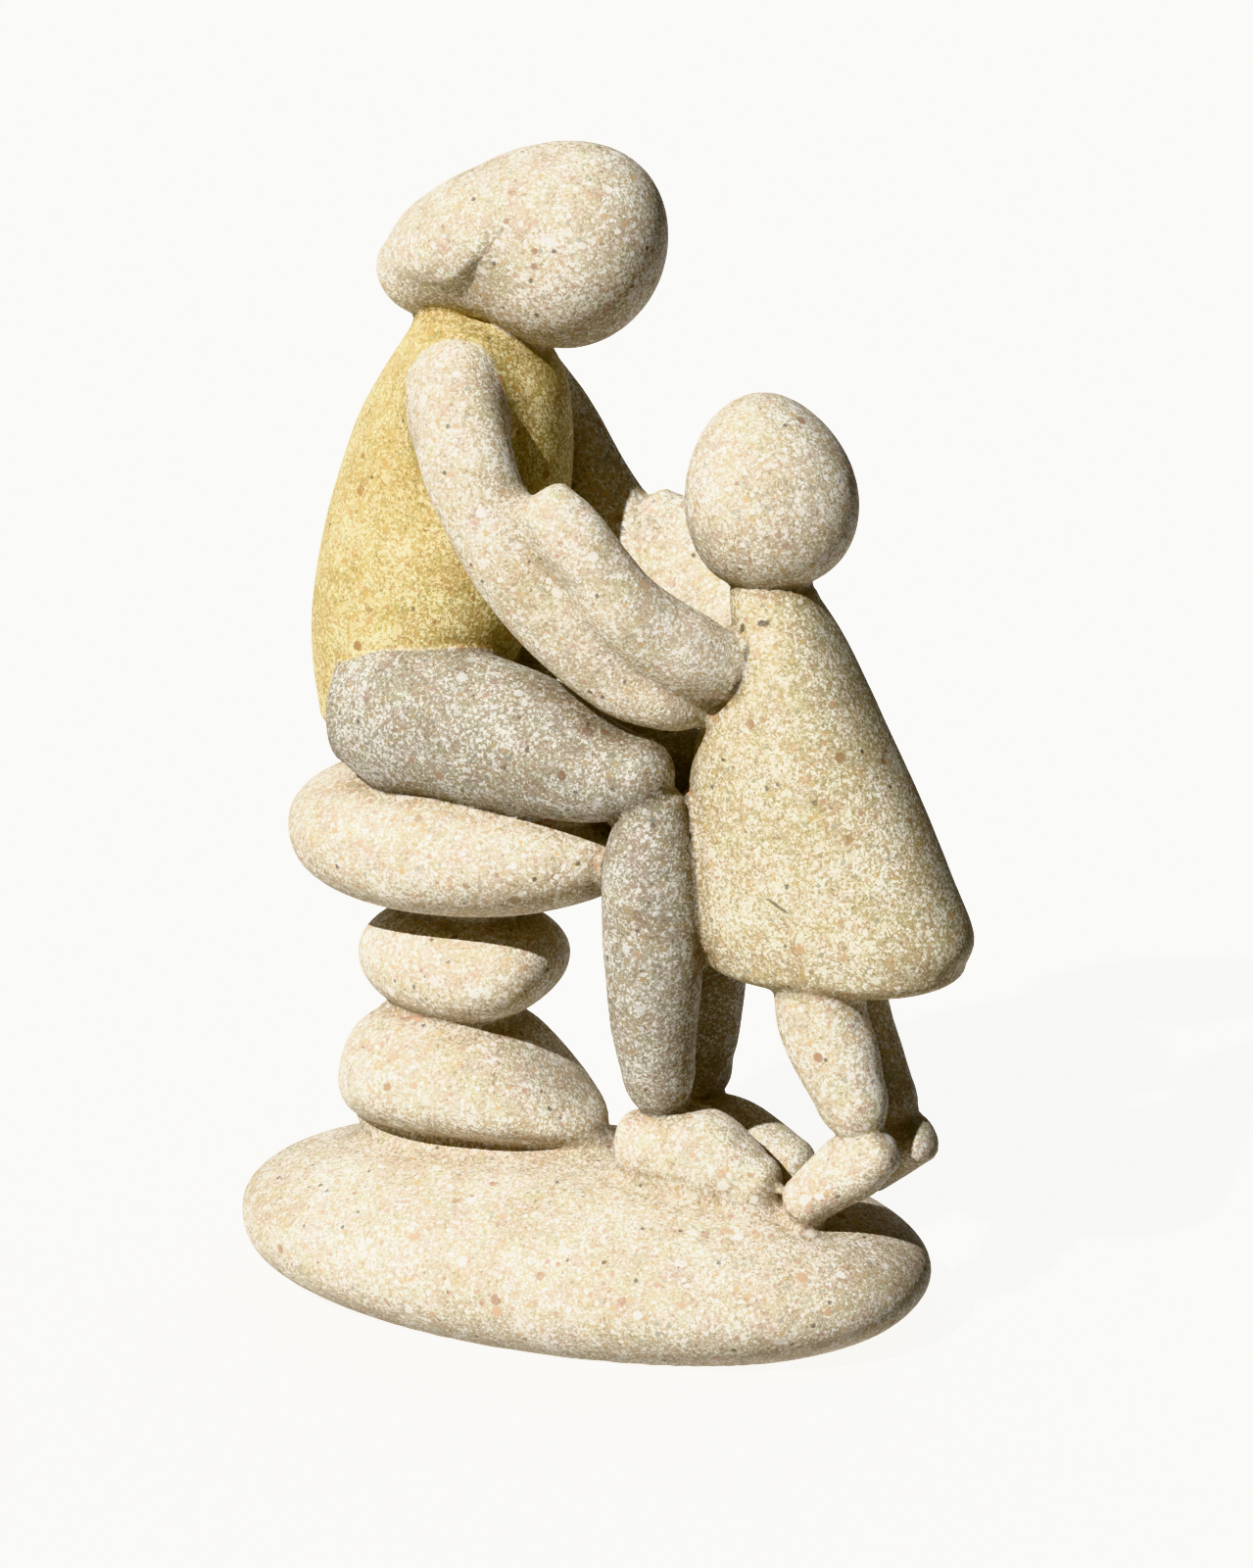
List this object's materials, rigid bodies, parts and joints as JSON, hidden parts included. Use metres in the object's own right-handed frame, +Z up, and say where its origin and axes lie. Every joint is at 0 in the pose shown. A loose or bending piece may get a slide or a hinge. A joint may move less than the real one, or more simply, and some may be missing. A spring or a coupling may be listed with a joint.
{
  "type": "pebble figure group of a seated adult and a standing child",
  "caption": "Cast stone resin ornament: a seated adult on stacked pebbles holds a child on tiptoe, both built of smooth pebble shapes on a broad flat pebble.",
  "frame": {"origin": "centre of the bounding box at the flat underside", "axes": "+X the way the adult faces, +Z up; -Y is the near side in the picture"},
  "size_m": [0.1782, 0.0936, 0.2738],
  "materials": {
    "cast_stone": "matt speckled cast stone with thin painted washes"
  },
  "bodies": {
    "root": {"pebble_group": "cast_stone"}
  },
  "joints": []
}
